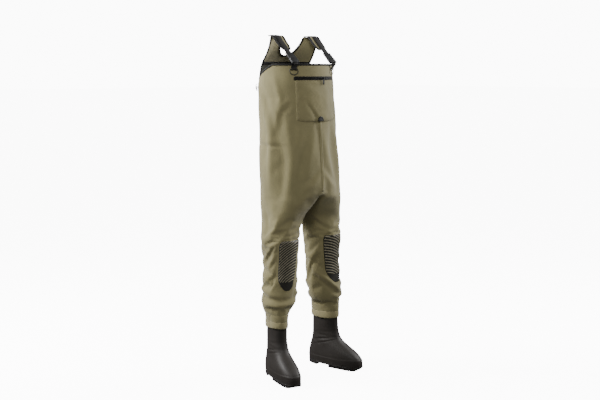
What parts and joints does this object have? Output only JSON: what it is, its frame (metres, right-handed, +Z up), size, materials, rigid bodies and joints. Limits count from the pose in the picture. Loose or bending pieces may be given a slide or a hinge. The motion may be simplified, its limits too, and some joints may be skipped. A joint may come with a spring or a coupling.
{
  "type": "chest waders",
  "caption": "Neoprene chest waders with attached boots, standing open at the top, with shoulder straps, buckles, zipped chest pocket and knee pads.",
  "frame": {"origin": "floor point midway between the boots, under the middle of the bounding box", "axes": "+Z up from the soles to the shoulders, wearer's front toward -Y, wearer's left toward +X"},
  "size_m": [0.4366, 0.3764, 1.4684],
  "materials": {
    "neoprene": "matt knit-faced neoprene, khaki brown",
    "binding": "black stretch binding tape",
    "webbing": "black woven webbing",
    "buckle_plastic": "moulded black acetal",
    "knee_rubber": "satin printed rubber",
    "boot_rubber": "satin moulded rubber",
    "sole_rubber": "matt moulded rubber"
  },
  "bodies": {
    "garment": {"armhole_binding_left": "binding", "armhole_binding_right": "binding", "back_tab": "webbing", "back_yoke": "neoprene", "boot_upper_left": "boot_rubber", "boot_upper_right": "boot_rubber", "buckle_socket_left": "buckle_plastic", "buckle_socket_right": "buckle_plastic", "centre_seam": "neoprene", "chest_pocket": "neoprene", "crotch_gusset": "neoprene", "cuff_lower_left": "neoprene", "cuff_lower_right": "neoprene", "cuff_upper_left": "neoprene", "cuff_upper_right": "neoprene", "half_moon_tab": "binding", "hem_binding": "binding", "inner_back_band": "binding", "knee_pad_left": "knee_rubber", "knee_pad_right": "knee_rubber", "leg_back_left": "neoprene", "leg_back_right": "neoprene", "leg_front_left": "neoprene", "leg_front_right": "neoprene", "neck_binding": "binding", "outsole_left": "sole_rubber", "outsole_right": "sole_rubber", "strap_pad_left": "neoprene", "strap_pad_right": "neoprene", "strap_tab_left": "webbing", "strap_tab_right": "webbing", "strap_webbing_left": "webbing", "strap_webbing_right": "webbing", "torso_back": "neoprene", "torso_front": "neoprene", "zip_tape": "binding", "zip_teeth": "buckle_plastic"},
    "zip_slider": {"zip_slider": "buckle_plastic"},
    "zip_pull": {"zip_pull": "buckle_plastic"},
    "prong_right": {"buckle_prong_right": "buckle_plastic"},
    "prong_left": {"buckle_prong_left": "buckle_plastic"},
    "ring_right": {"d_ring_right": "buckle_plastic"},
    "ring_left": {"d_ring_left": "buckle_plastic"},
    "ring_back": {"back_ring": "buckle_plastic"}
  },
  "joints": [
    {"name": "zip_travel", "type": "hinge", "parent": "garment", "child": "zip_slider", "pos_m": [0, 0.08578, 1.286], "axis": [0, 0, 1], "range_deg": [-36, 22]},
    {"name": "zip_pull_swing", "type": "hinge", "parent": "zip_slider", "child": "zip_pull", "pos_m": [0.02426, -0.11184, 1.286], "axis": [-0.9925, -0.1219, 0], "range_deg": [0, 80]},
    {"name": "buckle_release_right", "type": "slide", "parent": "garment", "child": "prong_right", "axis": [0, 0.7433, 0.669], "range_m": [0, 0.022]},
    {"name": "buckle_release_left", "type": "slide", "parent": "garment", "child": "prong_left", "axis": [0, 0.7433, 0.669], "range_m": [0, 0.022]},
    {"name": "d_ring_swing_right", "type": "hinge", "parent": "garment", "child": "ring_right", "pos_m": [-0.10716, -0.0742, 1.3245], "axis": [-0.7868, 0.6172, 0], "range_deg": [0, 75]},
    {"name": "d_ring_swing_left", "type": "hinge", "parent": "garment", "child": "ring_left", "pos_m": [0.10716, -0.0742, 1.3245], "axis": [-0.7868, -0.6172, 0], "range_deg": [0, 75]},
    {"name": "back_ring_swing", "type": "hinge", "parent": "garment", "child": "ring_back", "pos_m": [-0.14144, 0.13361, 1.249], "axis": [0.6018, 0.7986, 0], "range_deg": [0, 75]}
  ]
}
